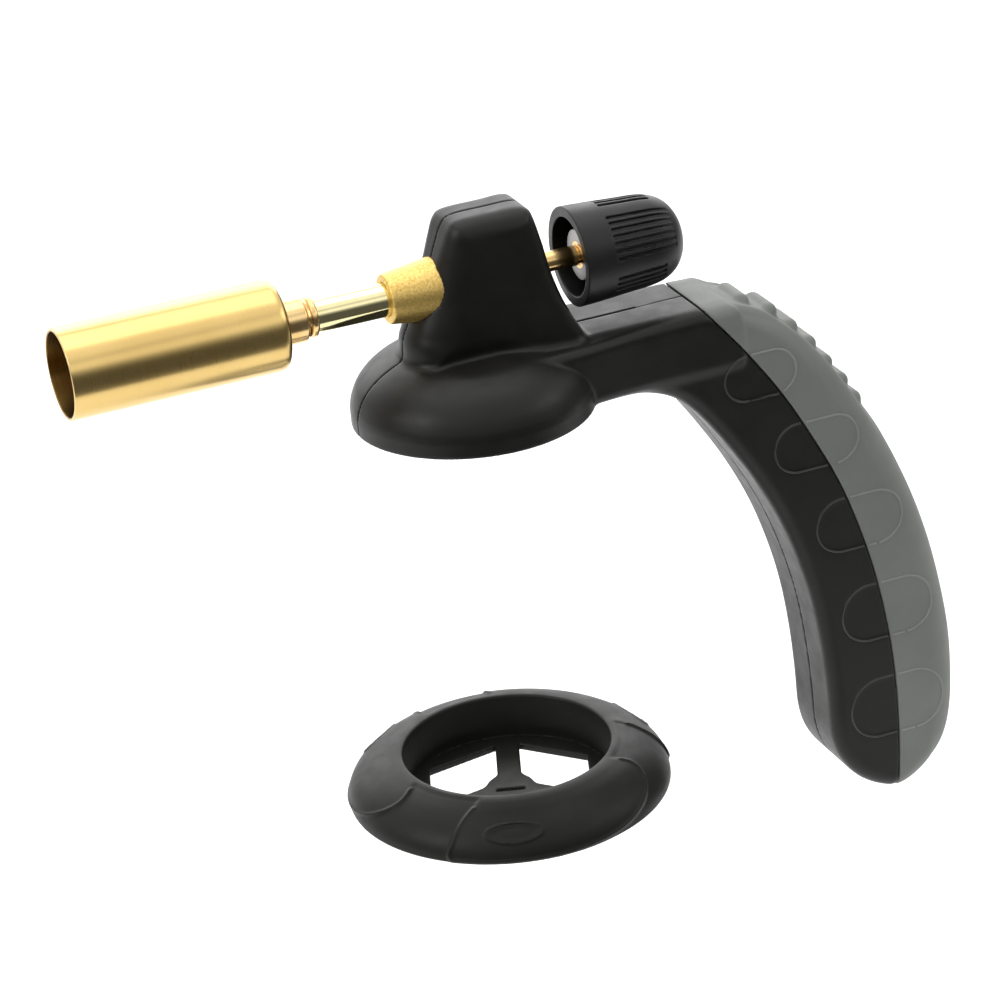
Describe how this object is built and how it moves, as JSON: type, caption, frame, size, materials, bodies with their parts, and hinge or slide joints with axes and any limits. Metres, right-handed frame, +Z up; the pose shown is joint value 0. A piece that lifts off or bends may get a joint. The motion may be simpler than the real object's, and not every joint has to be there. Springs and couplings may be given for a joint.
{
  "type": "butane torch",
  "caption": "Hand blow torch for a screw-on gas cartridge: brass burner on a lance, domed valve housing, control knob, curved handle and a loose foot ring.",
  "frame": {"origin": "centre of the mouth of the cartridge thread, under the dome", "axes": "+Z up along the cartridge axis, +X from the burner towards the handle, so the burner points along -X; the mould line of the housing lies on Y = 0"},
  "size_m": [0.2829, 0.1044, 0.2275],
  "materials": {
    "black_plastic": "fine matte moulded texture",
    "grey_grip": "soft-touch matte",
    "knob_plastic": "satin moulded",
    "ring_plastic": "fine matte moulded texture",
    "burner_brass": "satin brushed round",
    "cast_brass": "rough cast",
    "turned_brass": "turned",
    "plated_tube": "polished and passivated",
    "sintered_bronze": "sintered",
    "steel": "zinc plated",
    "nitrile": "smooth",
    "fibre": "fibre washer"
  },
  "bodies": {
    "torch": {"housing_left": "black_plastic", "housing_right": "black_plastic", "handle_left": "black_plastic", "handle_right": "black_plastic", "rear_grip": "grey_grip", "housing_screws": "steel", "valve_body": "cast_brass", "socket_seal": "nitrile", "valve_pin": "steel", "inlet_filter": "sintered_bronze", "gland_nut": "turned_brass", "lance_tube": "plated_tube", "tube_collar": "turned_brass", "jet": "turned_brass", "jet_seal": "fibre", "burner_neck": "turned_brass", "burner_cup": "burner_brass", "flame_holder": "turned_brass"},
    "knob": {"spindle": "turned_brass", "spindle_seal": "nitrile", "knob": "knob_plastic", "knob_insert": "turned_brass", "knob_washer": "steel"},
    "foot_ring": {"foot_ring": "ring_plastic"}
  },
  "joints": [
    {"name": "knob_turn", "type": "hinge", "parent": "torch", "child": "knob", "pos_m": [0.05, 0, 0.0263], "axis": [1, 0, 0], "range_deg": [0, 540]},
    {"name": "ring_slide", "type": "slide", "parent": "torch", "child": "foot_ring", "axis": [0, 0, 1], "range_m": [-0.05, 0]}
  ]
}
